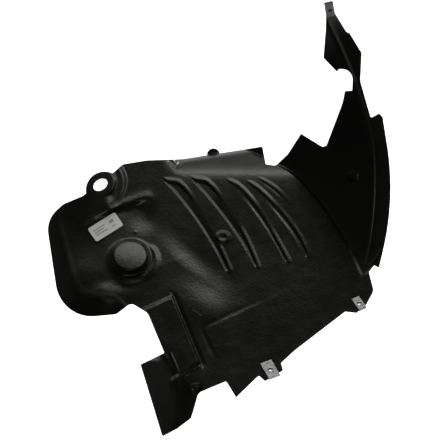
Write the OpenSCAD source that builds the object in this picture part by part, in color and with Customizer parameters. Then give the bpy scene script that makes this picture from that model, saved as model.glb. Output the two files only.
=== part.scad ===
// Front wheel arch liner of a family car, right-hand side.
// The sheet is drawn in the frame of its mould: x to the right, y up, z out of the mould.
// The finished part stands in the frame of the car: x forward, y to the left, z up.

/* [Sheet] */
// Thickness of the moulded sheet
sheet_t = 2.5; // [1.5:0.1:4]
// Turn of the draw direction about the upright axis of the car
draw_turn = -43.6; // [-60:0.1:-30]
// Rise of the draw direction above the level
draw_rise = 11.3; // [0:0.1:25]

/* [Main facet] */
// Depth of the main facet at the middle of the mould
facet_depth = -94; // [-120:1:-70]
// Fall of the main facet for each millimetre up
facet_fall = 0.81; // [0.6:0.01:1]
// Rise of the main facet for each millimetre to the right
facet_side = 0.035; // [-0.1:0.005:0.1]

/* [Top shelf] */
// Height of the bend line of the shelf
shelf_y = 72; // [66:1:76]
// Extra fall of the shelf for each millimetre up
shelf_fall = 0.9; // [0.4:0.05:1.2]
// Place where the bend line starts to sweep up
shelf_sweep_x = -50; // [-60:1:-40]

/* [Lobe] */
// Extra tilt of the lobe floor against the main facet
lobe_tilt = 0.14; // [0.05:0.01:0.2]
// Greatest rise of the lobe floor above the main facet
lobe_rise = 8; // [4:0.5:12]
// Fall of the rolled rim for each millimetre outwards
rim_fall = 0.9; // [0.4:0.05:1.2]
// Rounding of the bend of the rim
rim_bend = 5; // [3:0.5:9]

/* [Dome] */
// Half width of the foot of the dome
dome_r = 46; // [40:1:50]
// Half width of the flat top of the dome
dome_top_r = 23; // [18:1:26]
// Height of the flat top above the lobe floor
dome_rise = 17; // [10:1:24]
// Lean of the flat top, upwards and to the right
dome_lean = 0.22; // [0:0.02:0.3]

/* [Grooves] */
// Depth of the stiffening grooves
groove_depth = 4; // [2:0.5:6]
// Width of the steep wall of a groove
groove_wall = 3; // [2:0.5:5]

/* [Tread wall] */
// Radius of the tread wall about the wheel axis
tread_r = 320; // [310:1:330]
// Fall of the lip flange beside the crest
lip_fall = 1.9; // [1.2:0.1:2.4]
// Sideways place of the crest at its fullest
crest_x = 233; // [228:1:238]

/* [Strip and flap] */
// Rise of the strip that leads down to the flap
strip_rise = 6; // [3:0.5:9]
// Fall of the rolled side of the flap
flap_fall = 0.6; // [0.3:0.05:0.9]

/* [Eye] */
// Height of the ear above the main facet
ear_rise = 12; // [9:0.5:15]
// Half length of the slot in the fixing ear
eye_a = 11.5; // [8:0.5:14]
// Half width of the slot in the fixing ear
eye_b = 8; // [5:0.5:10]
// Radius of the fixing ear
ear_r = 28; // [24:1:32]

/* [Clips] */
// Thickness of the spring steel
steel_t = 1; // [0.6:0.1:1.5]
// Gap between a clip leg and the sheet
clip_gap = 0.15; // [0.05:0.05:0.4]
// Radius of the threaded bore in a clip
bore_r = 2.6; // [2:0.1:3.2]
// Outer radius of the collar round the bore
collar_r = 4.6; // [4:0.1:5.2]
// Length of the collar behind the leg
collar_len = 5; // [3:0.5:8]
// Radius of the clearance hole in the sheet
sheet_hole_r = 4.2; // [3.5:0.1:4.8]

/* [Label] */
// Length of the paper label
label_len = 48; // [40:1:60]
// Width of the paper label
label_wid = 24; // [20:1:32]
// Thickness of the paper label
label_t = 0.5; // [0.3:0.1:1]
// Gap between the paper label and the sheet
label_gap = 0.8; // [0.3:0.1:0.9]

/* [Hidden] */
$fn = 28;
root_h = 16;
base_z = -420;
draw_z = 420;

// Soft step from 0 to 1 while t runs from 0 to 1
function soft(t) = let (c = max(0, min(1, t))) c * c * (3 - 2 * c);

// The larger of 0 and t, with the bend rounded by r
function ramp(t, r) = (t + sqrt(t * t + r * r)) / 2;

// Rounded smaller and larger of two values
function soft_min(a, b, r) = (a + b - sqrt((a - b) * (a - b) + r * r)) / 2;
function soft_max(a, b, r) = (a + b + sqrt((a - b) * (a - b) + r * r)) / 2;

// Grooves: place of the steep wall, bow, upper end, lower end and width, across and along
grooves = [
  [-27, 0, -57, 112, 22],
  [8.5, 3, -33, 134, 22],
  [53, 9, 4, 153, 20],
  [79, 4, 21, 164, 15],
  [96, 0, 25, 60, 11]
];

// Direction along the grooves, and the point where both groove measures are zero
along = [0.590, -0.807];
across = [0.807, 0.590];
groove_o = [-30, 30];

function groove_cut(a, b, y) = [
  for (g = grooves)
    let (
      t = (b - g[2]) / (g[3] - g[2]),
      left = g[0] + g[1] * 4 * t * (1 - t),
      wide = g[4] * (1 - 0.5 * soft((t - 0.3) / 0.7)),
      wall = soft((a - left) / groove_wall),
      slope = 1 - soft((a - left - groove_wall) / (wide - groove_wall)),
      ends = (1 - soft((y - shelf_y + 14) / 7)) * (1 - soft((b - g[3] + 8) / 9))
    )
      wall * slope * ends
];

function sum(v, i = 0) = i >= len(v) ? 0 : v[i] + sum(v, i + 1);

// Plain main facet
function facet_z(x, y) = facet_depth + facet_side * x - facet_fall * y;

// Shelf: a bend whose line sweeps up at its left end
function shelf_z(x, y) =
  let (line = shelf_y + 18 * pow(max(0, shelf_sweep_x - x) / 28, 2))
    -shelf_fall * ramp(y - line, 4);

// Lobe floor, tilted up more than the facet, with its left part rolled back
function lobe_z(x, y) =
  let (
    below = 0.353 * (x + 171) - 0.936 * (y - 15),
    left = -0.824 * (x + 102) - 0.566 * (y - 37.5),
    under = -0.26 * (x + 49.5) - 0.966 * (y + 39),
    side = soft(soft_max(left, under, 8) / 24) * (1 - soft((x + 60) / 110)),
    top = soft(below / 8) * soft((x + 215) / 45)
  )
    side * top * min(lobe_rise, lobe_tilt * (below - 50)) - 0.0027 * pow(max(0, -165 - x), 2);

// Rim of the lobe, rolled away outside its bend line
function rim_z(x, y) =
  let (
    in_left = 0.969 * (x + 240) + 0.248 * (y + 30),
    in_low = (y + 120) + 1.2 * max(0, x + 153)
  )
    -rim_fall * ramp(-soft_min(in_left, in_low, 18), rim_bend);

// Flap, rolled away on both sides of its crest
function flap_z(x, y) =
  let (
    crest = -65 - 16 * pow((y + 275) / 71, 2),
    low = soft((-196 - y) / 16),
    right = soft((-240 - y) / 14) * (1 - soft((x + 35) / 12))
  )
    -flap_fall * ramp(crest - x, 4) * low - 0.5 * ramp(x + 56, 3) * right;

// Long soft fall of the sheet to the left of the ear
ear_o = [-180, 57];

function ear_z(x, y) =
  let (
    p = [x, y] - ear_o,
    r = norm(p) + 0.001,
    left = soft((p * [-0.78, -0.62] / r + 0.1) / 0.6)
  )
    ear_rise * left * (1 - soft((r - 10) / 75));

function body_z(x, y) =
  facet_z(x, y) + shelf_z(x, y) + lobe_z(x, y) + rim_z(x, y) + flap_z(x, y) + ear_z(x, y);

// Tread wall: a cylinder about the wheel axis, bent over at the crest into the lip flange
hub = [25.5, 45, 200];
axle = [0.73, -0.15, 0.667];

function crest_at(y) = crest_x - (y > 63 ? 0.00137 : 0.0008) * pow(y - 63, 2);

function tread_z(x, y) =
  let (
    q = [x - hub[0], y - hub[1]],
    s = q[0] * axle[0] + q[1] * axle[1],
    c = q * q - s * s - tread_r * tread_r,
    k = 1 - axle[2] * axle[2],
    root = sqrt(max(100, pow(axle[2] * s, 2) - k * c))
  )
    hub[2] + (axle[2] * s - root) / k - lip_fall * ramp(x - crest_at(y), 5);

// Level of the hidden side, so that the sheet is equally thick on a slope
function back_drop(rise_x, rise_y) = sheet_t * sqrt(1 + rise_x * rise_x + rise_y * rise_y);

// Solid block below a grid of points [x, y, z]
module below_grid(rows) {
  m = len(rows);
  n = len(rows[0]);
  top = [for (row = rows) each row];
  bottom = [for (row = rows) each [for (p = row) [p[0], p[1], base_z]]];
  k = m * n;
  faces = concat(
    [for (i = [0:m - 2], j = [0:n - 2]) [i * n + j, (i + 1) * n + j + 1, (i + 1) * n + j]],
    [for (i = [0:m - 2], j = [0:n - 2]) [i * n + j, i * n + j + 1, (i + 1) * n + j + 1]],
    [for (i = [0:m - 2], j = [0:n - 2]) [k + i * n + j, k + (i + 1) * n + j, k + (i + 1) * n + j + 1]],
    [for (i = [0:m - 2], j = [0:n - 2]) [k + i * n + j, k + (i + 1) * n + j + 1, k + i * n + j + 1]],
    [for (j = [0:n - 2]) [j, k + j, k + j + 1, j + 1]],
    [for (j = [0:n - 2]) let (e = (m - 1) * n + j) [e, e + 1, k + e + 1, k + e]],
    [for (i = [0:m - 2]) [i * n, (i + 1) * n, k + (i + 1) * n, k + i * n]],
    [for (i = [0:m - 2]) let (e = i * n + n - 1) [e + n, e, k + e, k + e + n]]
  );
  polyhedron(points = concat(top, bottom), faces = faces, convexity = 20);
}

// Places of the grid lines across the grooves: close at the steep walls, wide elsewhere
groove_steps = [0, 3, 9, 20];
line_places = concat(
  [for (a = [-280:10:-40]) a],
  [for (i = [0:3], s = groove_steps) if (s < grooves[i + 1][0] - grooves[i][0] - 3) grooves[i][0] + s],
  [96, 99, 107, 118, 132, 148, 170]
);

// Places of the grid lines along the grooves: close at their ends
row_places = [each [-165:14:-95], -85, -76, -67, each [-58:9:32], 47, 64, 82, 98, each [112:10:162], each [176:14:290]];

// Bow of the grooves, shared by the grid lines
function bow_at(a) = lookup(a, [[-27, 0], [8.5, 3], [53, 9], [79, 4], [96, 0]]);

function body_point(a, b, drop) =
  let (
    t = (b + 20) / 170,
    bent = a + (t > 0 && t < 1 ? bow_at(a) * 4 * t * (1 - t) : 0),
    p = groove_o + bent * across + b * along,
    z = body_z(p[0], p[1]) - groove_depth * sum(groove_cut(bent, b, p[1])),
    rise_x = body_z(p[0] + 1, p[1]) - body_z(p[0], p[1]),
    rise_y = body_z(p[0], p[1] + 1) - body_z(p[0], p[1])
  )
    [p[0], p[1], z - (drop ? back_drop(rise_x, rise_y) : 0)];

module body_block(drop) {
  below_grid([for (b = row_places) [for (a = line_places) body_point(a, b, drop)]]);
}

// The grid of the tread wall follows the crest
tread_lines = [-190, -150, -110, -80, -55, -36, -22, -12, -6, -2, 2, 6, 13, 24, 38];

function tread_point(o, y, drop) =
  let (
    x = crest_at(y) + o,
    z = tread_z(x, y),
    rise_x = tread_z(x + 1, y) - z,
    rise_y = tread_z(x, y + 1) - z
  )
    [x, y, z - (drop ? back_drop(rise_x, rise_y) : 0)];

module tread_block(drop) {
  below_grid([for (y = [333:-14:-155]) [for (o = tread_lines) tread_point(o, y, drop)]]);
}

// Draws its children on the slope of the main facet, with heights out of the mould
module on_facet() {
  multmatrix([[1, 0, 0, 0], [0, 1, 0, 0], [facet_side, -facet_fall, 1, facet_depth], [0, 0, 0, 1]])
    children();
}

// Raised step: a foot disc and a smaller top disc, [x, y, half width, half height, level] each,
// with the top disc leaning upwards and to the right
module raised_step(foot, head, less, lean = 0) {
  on_facet() hull() {
    translate([foot[0], foot[1], foot[4] - root_h - less * 1.3])
      scale([foot[2] - less, foot[3] - less, 1]) cylinder(r = 1, h = root_h);
    translate([head[0], head[1], head[4] - less * 1.3])
      multmatrix([[1, 0, 0, 0], [0, 1, 0, 0], [-lean / 2, -lean, 1, 0], [0, 0, 0, 1]])
        scale([head[2] - less, head[3] - less, 1]) cylinder(r = 1, h = 0.01);
  }
}

// Two-stepped dome
module dome(less) {
  f = dome_r;
  h = dome_top_r;
  raised_step([-132, -61, f, f * 0.79, 3], [-132.5, -59, f - 7, (f - 7) * 0.8, 8], less);
  raised_step([-132.5, -59, f - 12, (f - 12) * 0.8, 4], [-135, -52.5, h, h * 0.85, dome_rise + 5], less, dome_lean);
}

// Three low steps round the fixing ear
module ear_steps(less) {
  step = ear_rise / 3;
  for (s = [0:2])
    raised_step(
      [ear_o[0], ear_o[1], 43 - 10 * s, 43 - 10 * s, step * (s - 0.5)],
      [ear_o[0], ear_o[1], 39 - 9 * s, 39 - 9 * s, step * (s + 1) - 0.5],
      less
    );
}

// Rounded bar between the ear and the lobe floor
module bar(less) {
  on_facet() for (lift = [-3.5, -1]) hull() {
    for (p = [[-166, 19], [-106, 38]])
      translate([p[0], p[1], lift - 3 - less * 1.3]) scale([1, 0.8, 0.8]) sphere(r = 9 + lift - less / 2, $fn = 16);
  }
}

// Ringed boss between the first two grooves, and the pip above the dome
module small_bosses(less) {
  raised_step([4.5, -25.5, 14, 11.5, -5], [4.5, -25.5, 9, 7.5, 3.5], less);
  if (less == 0) raised_step([-127, -18, 4, 3.4, -4], [-127, -18, 2.6, 2.2, 2.5], 0);
}

// Raised strip between the body and the flap
module strip(less) {
  foot = [[-66, -111], [-30, -206], [-44, -220], [-84, -203], [-130, -130]];
  head = [[-73, -119], [-38, -205], [-48, -213], [-84, -197], [-125, -136]];
  on_facet() hull() {
    translate([0, 0, lobe_rise - 5 - root_h - less * 1.5]) linear_extrude(root_h) polygon(foot);
    translate([0, 0, lobe_rise + strip_rise - less * 1.5]) linear_extrude(0.01) polygon(head);
  }
}

// Boss on the tread wall
module tread_boss(less) {
  translate([200, 66, tread_z(200, 66)]) rotate([0, -45, 0]) translate([0, 0, -less]) hull() {
    translate([0, 0, -4]) cylinder(r = 12 - less, h = 0.01);
    cylinder(r = 10 - less, h = 0.01);
    translate([0, 0, 4]) cylinder(r = 5 - less, h = 0.01);
  }
}

// The mould, and the same mould set back by the sheet
module mould(less) {
  body_block(less > 0);
  tread_block(less > 0);
  dome(less);
  ear_steps(less);
  bar(less);
  small_bosses(less);
  strip(less);
  tread_boss(less);
}

// Corner list with a rounding radius in each third place, made into a closed outline
function arc_corner(p, c, n) =
  let (
    u = (p - c) / norm(p - c),
    v = (n - c) / norm(n - c),
    half = acos(max(-1, min(1, u * v))) / 2,
    back = 1 / tan(half),
    mid = (u + v) / norm(u + v)
  )
    [u, v, half, back, mid];

function rounded(list) = [
  for (i = [0:len(list) - 1])
    let (
      m = len(list),
      c = [list[i][0], list[i][1]],
      p = [list[(i + m - 1) % m][0], list[(i + m - 1) % m][1]],
      n = [list[(i + 1) % m][0], list[(i + 1) % m][1]],
      r = list[i][2],
      g = arc_corner(p, c, n),
      o = c + g[4] * r / sin(g[2]),
      start = c + g[0] * r * g[3] - o,
      turn = 180 - 2 * g[2],
      way = cross([g[0][0], g[0][1]], [g[1][0], g[1][1]]) > 0 ? -1 : 1,
      steps = ceil(turn / (r > 100 ? 3 : 12))
    )
      each r == 0 ? [c] : [
        for (k = [0:steps])
          let (w = way * turn * k / steps)
            o + [start[0] * cos(w) - start[1] * sin(w), start[0] * sin(w) + start[1] * cos(w)]
      ]
];

// Trimmed edge of the sheet, clockwise from the tip of the arm
arm_edge = [
  [158, 321.5, 1], [164.5, 321, 1], [173, 306, 10], [189, 281, 2], [194, 279, 2], [212, 250, 5],
  [210, 208, 25], [226, 153, 2], [239, 160, 3], [244, 154, 4]
];
lip_edge = [
  [264, 30, 400], [238, -72, 1], [231, -68, 1], [223, -78, 2], [230, -106, 12],
  [219, -126, 6], [204, -139, 4], [187, -137, 1]
];
low_edge = [
  [112, -194, 6], [91, -213, 1], [94, -224, 1], [67, -240, 1],
  [58, -232, 1], [54, -235, 1], [24, -264, 1], [9, -240, 2]
];
flap_edge = [
  [-32, -257, 12], [-39, -282, 5], [-43, -295, 6], [-64, -311, 4], [-86, -323, 2],
  [-119, -216, 2], [-83, -198, 2], [-108, -139, 12], [-133, -124, 10], [-155, -141, 8]
];
lobe_edge = [
  [-238, -149, 55], [-262, 0, 40], [-236, 24, 20], [-207, 36, 3], [-160, 72, 6],
  [-147, 84, 12], [-110, 90, 30], [-76, 91, 8], [-57, 86, 8]
];
top_edge = [
  [64, 105, 1], [69, 84, 2], [84, 82, 6], [102, 99, 20], [122, 130, 1], [154, 110, 1], [160, 112, 1],
  [184, 176, 60], [187, 193, 1], [198, 194, 1], [199, 226, 16], [178, 226, 1], [175, 222, 1],
  [155, 243, 3], [158, 285, 60]
];

module outline() {
  difference() {
    union() {
      polygon(rounded(concat(arm_edge, lip_edge, low_edge, flap_edge, lobe_edge, top_edge)));
      translate([-174, 45]) circle(r = ear_r);
      translate([-10, 98]) circle(r = 9.5);
    }
    translate([-180, 53]) rotate(33) scale([eye_a, eye_b]) circle(r = 1);
  }
}

// Directions of the mould frame, measured in the car frame
mould_x = [cos(draw_turn), sin(draw_turn), 0];
mould_z = [sin(draw_turn) * cos(draw_rise), -cos(draw_turn) * cos(draw_rise), sin(draw_rise)];
mould_y = cross(mould_z, mould_x);

function to_car(v) = v[0] * mould_x + v[1] * mould_y + v[2] * mould_z;

// Lies the mould frame in the car frame, with the origin in the bore of the lower clip
module in_car() {
  translate(-to_car(bore_centre(lower_place))) rotate([90 - draw_rise, 0, draw_turn]) children();
}

// Clip places: x, y, direction along the clip in the mould frame, and width.
// The wider clips are longer, and the one on the curved tip grips with more room.
lower_place = [75, -223, [13, -22], 18];
outer_place = [208, -125, [12, -17], 12];
tip_place = [163.5, 314, [-3, 17], 13];

function on_tread(c) = c[1] > 150;
function level(c, dx = 0, dy = 0) =
  max(tread_z(c[0] + dx, c[1] + dy), body_z(c[0] + dx, c[1] + dy));

// Frame of a clip: width, length and outward directions, then its place on the sheet
function clip_frame(c) =
  let (
    rx = level(c, 1, 0) - level(c),
    ry = level(c, 0, 1) - level(c),
    out = [-rx, -ry, 1] / norm([-rx, -ry, 1]),
    run = [c[2][0], c[2][1], rx * c[2][0] + ry * c[2][1]],
    len_dir = run / norm(run),
    wid_dir = cross(len_dir, out)
  )
    [wid_dir, len_dir, out, [c[0], c[1], level(c)]];

// Gap on each side of the sheet, wider on the curved tip
function clip_room(c) = clip_gap + (on_tread(c) ? 0.8 : 0);

// Middle of the collar bore of a clip
function bore_centre(c) =
  let (f = clip_frame(c))
    f[3] - f[2] * (sheet_t + clip_room(c) + (steel_t + collar_len) / 2);

module at_clip(c) {
  f = clip_frame(c);
  in_car() multmatrix([
    [f[0][0], f[1][0], f[2][0], f[3][0]],
    [f[0][1], f[1][1], f[2][1], f[3][1]],
    [f[0][2], f[1][2], f[2][2], f[3][2]],
    [0, 0, 0, 1]
  ]) children();
}

// Trimmed shell with the clearance holes for the clip screws
module liner_shell() {
  color("#1b1c1b") difference() {
    in_car() intersection() {
      difference() {
        mould(0);
        mould(sheet_t);
      }
      translate([0, 0, base_z + 5]) linear_extrude(draw_z - base_z) outline();
    }
    for (c = [lower_place, outer_place, tip_place])
      at_clip(c) translate([0, 0, -15]) cylinder(r = c[3] > 15 ? sheet_hole_r : 3.4, h = 30);
  }
}

// Spring-steel clip: a strip folded over the edge of the sheet, with a threaded collar behind
module spring_clip(c) {
  half = c[3] / 2;
  front = clip_room(c);
  back = -sheet_t - clip_room(c) - steel_t;
  long = c[3] > 12 ? 33 : 25;
  bend_r = (front + steel_t - back) / 2;
  at_clip(c) color("#b9bcc0") difference() {
    union() {
      translate([-half, -long / 2, front]) cube([2 * half, long - bend_r, steel_t]);
      translate([-half, -long / 2, back]) cube([2 * half, long - bend_r, steel_t]);
      translate([-half, long / 2 - bend_r, (front + steel_t + back) / 2]) rotate([0, 90, 0])
        difference() {
          cylinder(r = bend_r, h = 2 * half);
          translate([0, 0, -1]) cylinder(r = bend_r - steel_t, h = 2 * half + 2);
          translate([-2 * bend_r, -3 * bend_r, -1]) cube([4 * bend_r, 3 * bend_r, 2 * half + 2]);
        }
      translate([0, 0, back - collar_len]) cylinder(r = collar_r, h = collar_len + steel_t / 2);
    }
    translate([0, 0, back - collar_len - 1]) cylinder(r = bore_r, h = collar_len + 4);
    cylinder(r = 3.4, h = 10);
  }
}

module lower_clip() { spring_clip(lower_place); }
module outer_clip() { spring_clip(outer_place); }
module tip_clip() { spring_clip(tip_place); }

// Paper label that follows the lobe
module paper_label() {
  mid = [-172, -10.5];
  len_dir = [0.848, 0.530];
  wid_dir = [-0.57, 0.82];
  n = 12;
  m = 6;
  pts = [
    for (side = [0, 1], i = [0:m], j = [0:n])
      let (
        p = mid + (j / n - 0.5) * label_len * len_dir + (i / m - 0.5) * label_wid * wid_dir,
        z = body_z(p[0], p[1])
      )
        [p[0], p[1], z + label_gap + (side == 0 ? label_t : 0)]
  ];
  k = (m + 1) * (n + 1);
  w = n + 1;
  faces = concat(
    [for (i = [0:m - 1], j = [0:n - 1]) [i * w + j, (i + 1) * w + j, (i + 1) * w + j + 1]],
    [for (i = [0:m - 1], j = [0:n - 1]) [i * w + j, (i + 1) * w + j + 1, i * w + j + 1]],
    [for (i = [0:m - 1], j = [0:n - 1]) [k + i * w + j, k + (i + 1) * w + j + 1, k + (i + 1) * w + j]],
    [for (i = [0:m - 1], j = [0:n - 1]) [k + i * w + j, k + i * w + j + 1, k + (i + 1) * w + j + 1]],
    [for (j = [0:n - 1]) [j, j + 1, k + j + 1, k + j]],
    [for (j = [0:n - 1]) let (e = m * w + j) [e + 1, e, k + e, k + e + 1]],
    [for (i = [0:m - 1]) [(i + 1) * w, i * w, k + i * w, k + (i + 1) * w]],
    [for (i = [0:m - 1]) let (e = i * w + n) [e, e + w, k + e + w, k + e]]
  );
  color("#d8d9d6") in_car() polyhedron(points = pts, faces = faces);
}

liner_shell();
lower_clip();
outer_clip();
tip_clip();
paper_label();

// Middle and outward direction of each clip bore in the car frame
for (c = [lower_place, outer_place, tip_place])
  echo(bore = to_car(bore_centre(c) - bore_centre(lower_place)), out = to_car(clip_frame(c)[2]));
echo(wheel = to_car(hub - bore_centre(lower_place)));
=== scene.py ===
"""Looks of a front wheel arch liner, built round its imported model.

The liner is a thin moulded sheet, so its surface is worked out as heights over the mould frame
(x to the right, y up, z out of the mould, millimetres) and then laid in the frame of the car.
"""

import bpy
import numpy as np
from mathutils import Matrix, Vector
from mathutils.geometry import delaunay_2d_cdt


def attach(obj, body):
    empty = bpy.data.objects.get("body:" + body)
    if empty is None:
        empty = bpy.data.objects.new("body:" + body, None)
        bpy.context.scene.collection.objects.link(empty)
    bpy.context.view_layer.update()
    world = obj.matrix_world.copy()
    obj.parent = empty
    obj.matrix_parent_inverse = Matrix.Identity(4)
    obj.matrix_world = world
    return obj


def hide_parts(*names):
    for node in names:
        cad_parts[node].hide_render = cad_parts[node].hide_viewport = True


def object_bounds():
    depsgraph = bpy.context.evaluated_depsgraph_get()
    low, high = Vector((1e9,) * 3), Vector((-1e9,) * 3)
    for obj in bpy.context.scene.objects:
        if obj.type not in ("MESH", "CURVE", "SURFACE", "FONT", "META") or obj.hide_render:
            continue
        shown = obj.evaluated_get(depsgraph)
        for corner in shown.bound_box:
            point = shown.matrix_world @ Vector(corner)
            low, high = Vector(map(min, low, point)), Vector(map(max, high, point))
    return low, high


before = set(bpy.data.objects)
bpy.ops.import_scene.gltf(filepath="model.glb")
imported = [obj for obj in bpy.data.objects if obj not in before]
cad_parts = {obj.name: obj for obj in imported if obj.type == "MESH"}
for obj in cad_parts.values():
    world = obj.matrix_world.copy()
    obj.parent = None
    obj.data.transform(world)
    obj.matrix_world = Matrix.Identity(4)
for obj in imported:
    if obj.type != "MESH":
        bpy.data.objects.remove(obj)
cad_low, cad_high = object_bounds()

# Sizes, in millimetres, in the mould frame

MM = 0.001
SHEET_T = 2.5
DRAW_TURN = -43.6
DRAW_RISE = 11.3

FACET_DEPTH, FACET_SIDE, FACET_FALL = -94, 0.035, 0.81
SHELF_Y, SHELF_FALL, SHELF_SWEEP_X, SHELF_BEND = 72, 0.9, -50, 9
LOBE_TILT, LOBE_RISE, RIM_FALL, RIM_BEND = 0.14, 8, 0.9, 7
DOME_RISE, EAR_RISE = 17, 12
TREAD_R, LIP_FALL, CREST_X = 320, 1.9, 233
STRIP_RISE, FLAP_FALL, PANEL_RISE = 6, 0.6, 0.7
LOBE_CURL_X, LOBE_CURL = -165, 0.0028
FLAP_CREST_X, FLAP_CREST_Y, FLAP_BOW, FLAP_BOW_HALF = -65, -275, 16, 71
HUB = np.array([25.5, 45, 200])
AXLE = np.array([0.73, -0.15, 0.667])

# Lines over the sheet: a point on the line, and the unit direction across it
RIM_LEFT = ((-240, -30), (0.969, 0.248))
LOBE_TOP = ((-171, 15), (0.353, -0.936))
LOBE_SIDE = ((-102, 37.5), (-0.824, -0.566))
LOBE_CREASE = ((-57.6, -36.8), (-0.5, -0.866))
GROOVE_ACROSS = ((-30, 30), (0.807, 0.590))
GROOVE_ALONG = ((-30, 30), (0.590, -0.807))
DOME_RIGHT = ((-132, -61), (0.75, -0.66))
STRIP_SIDE = ((-72, -117), (0.922, 0.387))
STRIP_END = ((-33, -216), (0.5, -0.866))
PANEL_LEFT = ((-26, -162), (0.905, 0.425))
PANEL_TOP = ((-26, -162), (0.425, -0.905))

# Small forms: middles, half widths and run lines
DOME_FOOT, DOME_FOOT_HALF = (-132, -61), (46.5, 36.8)
DOME_TOP, DOME_TOP_HALF = (-135, -52.5), (22.5, 19.5)
EAR_MID = (-180, 57)
RING_BOSS, PIP, TREAD_BOSS = (4.5, -25.5), (-127, -18), (200, 66)
BAR = ((-166, 18), (-110, 35))
HOOK = ((-76, 89), (-66, 80), (-58, 88))
SCRATCH = ((-40, -133.5), (-28, -142.5))

# Grooves: left wall and right wall as (along, across) points, top, lower end,
# then the depth and the height of the rounded lip on the right, as (along, height) points
GROOVES = [
    {
        "left": [(-57, -26), (-20, -22), (20, -21), (55, -23), (113, -31)],
        "right": [(-57, -8), (-28, -5), (20, -7), (70, -16), (94, -18), (113, -24)],
        "top": 62, "end": 113,
        "depth": [(-57, 2.6), (113, 2.6)],
        "lip": [(-28, 1.4), (0, 0), (60, 0), (78, 1.4)],
    },
    {
        "left": [(-33, 9), (0, 12.5), (50, 15), (80, 14), (134, 8)],
        "right": [(-33, 27), (-5, 30), (12, 31), (70, 25), (99, 23), (134, 13)],
        "top": 64, "end": 134,
        "depth": [(-33, 2.6), (134, 2.6)],
        "lip": [(-8, 1.6), (20, 0), (62, 0), (80, 1.4)],
    },
    {
        "left": [(2, 50), (30, 54), (60, 57), (98, 55.5), (154, 49)],
        "right": [(-5, 58), (20, 61.5), (60, 67), (105, 60.5), (154, 56)],
        "top": 61, "end": 154,
        "depth": [(30, 0), (70, 2.2), (154, 2.4)],
        "lip": [(40, 1.9), (64, 0.4), (92, 0.4), (108, 1.4)],
    },
    {
        "left": [(22, 73), (60, 79), (105, 83.5), (147, 80), (166, 78)],
        "right": [(15, 79), (40, 84.5), (85, 90), (117, 91.5), (147, 89), (166, 84)],
        "top": 59, "end": 166,
        "depth": [(55, 0), (95, 2), (166, 2.2)],
        "lip": [(50, 1.8), (80, 0.7), (110, 0.9), (150, 1.4)],
    },
    {
        "left": [(20, 88), (51, 97), (80, 103)],
        "right": [(20, 95), (53, 104.5), (80, 109)],
        "top": 63, "end": 78,
        "depth": [(20, 0.8), (60, 0.8), (78, 0)],
        "lip": [(50, 1.1), (78, 0.3)],
    },
]

# Broad swells of the sheet: middle, half widths, and the extra fall for each millimetre up
SWELLS = [
    (-36, -96, 38, 36, 0.17),
    (-14, -118, 30, 32, 0.24),
    (-165, -101, 31, 14, 0.33),
    (-118, -10, 17, 22, 0.20),
    (-219, 2, 25, 34, -0.12),
    (-203, -66, 24, 34, 0.20),
    (120, 0, 90, 70, -0.05),
]

# Trimmed edge of the sheet, clockwise from the tip of the arm: x, y and corner radius
ARM_EDGE = [
    (158, 321.5, 1), (164.5, 321, 1), (173, 306, 10), (189, 281, 2), (194, 279, 2), (212, 250, 5),
    (210, 208, 25), (226, 153, 2), (239, 160, 3), (244, 154, 4),
]
LIP_EDGE = [
    (264, 30, 400), (238, -72, 1), (231, -68, 1), (223, -78, 2), (230, -106, 12),
    (219, -126, 6), (204, -139, 4), (187, -137, 1),
]
LOW_EDGE = [
    (112, -194, 6), (91, -213, 1), (94, -224, 1), (67, -240, 1),
    (58, -232, 1), (54, -235, 1), (24, -264, 1), (9, -240, 2),
]
FLAP_EDGE = [
    (-32, -257, 12), (-39, -282, 5), (-43, -295, 6), (-64, -311, 4), (-86, -323, 2),
    (-119, -216, 2), (-83, -198, 2), (-108, -139, 12), (-133, -124, 10), (-155, -141, 8),
]
LOBE_EDGE = [
    (-238, -149, 55), (-262, 0, 40), (-236, 24, 20), (-207, 36, 3), (-160, 72, 6),
    (-147, 84, 12), (-110, 90, 30), (-80, 91, 8), (-57, 92, 8),
]
TOP_EDGE = [
    (64, 111, 2), (69, 84, 2), (84, 82, 6), (102, 99, 20), (122, 130, 1), (154, 110, 1),
    (160, 112, 1), (184, 176, 60), (187, 193, 1), (198, 194, 1), (199, 226, 16), (178, 226, 1),
    (175, 222, 1), (155, 243, 3), (158, 285, 60),
]
EAR = (-174, 45, 28)
ROUND_TAB = (-10, 98.5, 9.8)
EYE = (-180, 53, 11.5, 8, 33)

# Clips: place, direction along the clip, and radius of the hole in the sheet
CLIPS = {
    "lower_clip": ((75, -223), (13, -22), 4.2),
    "outer_clip": ((208, -125), (12, -17), 3.4),
    "tip_clip": ((163.5, 314), (-3, 17), 3.4),
}
STEEL_T, CLIP_GAP, TIP_GAP, COLLAR_LEN = 1, 0.15, 0.8, 5

# Mesh: grid step, clearance to the edge, the bends that call for a closer grid, and the least sizes
GRID_STEP, EDGE_CLEAR, BEND_SLIGHT, BEND_STRONG = 1.1, 0.8, 0.012, 0.06
SAME_POINT, SHEET_SLIVER, LABEL_SLIVER = 0.0001, 1e-7, 1e-6


# Soft steps and bends

def soft(t):
    """Soft step from 0 to 1 while t runs from 0 to 1."""
    t = np.clip(t, 0, 1)
    return t * t * (3 - 2 * t)


def ramp(t, r):
    """The larger of 0 and t, with the bend rounded by r."""
    return (t + np.sqrt(t * t + r * r)) / 2


def soft_min(a, b, r):
    """The smaller of a and b, with the bend rounded by r."""
    return (a + b - np.sqrt((a - b) ** 2 + r * r)) / 2


def soft_max(a, b, r):
    """The larger of a and b, with the bend rounded by r."""
    return (a + b + np.sqrt((a - b) ** 2 + r * r)) / 2


def past_line(x, y, line):
    """Distance past a line, along its direction across."""
    (px, py), (across_x, across_y) = line
    return across_x * (x - px) + across_y * (y - py)


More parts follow.
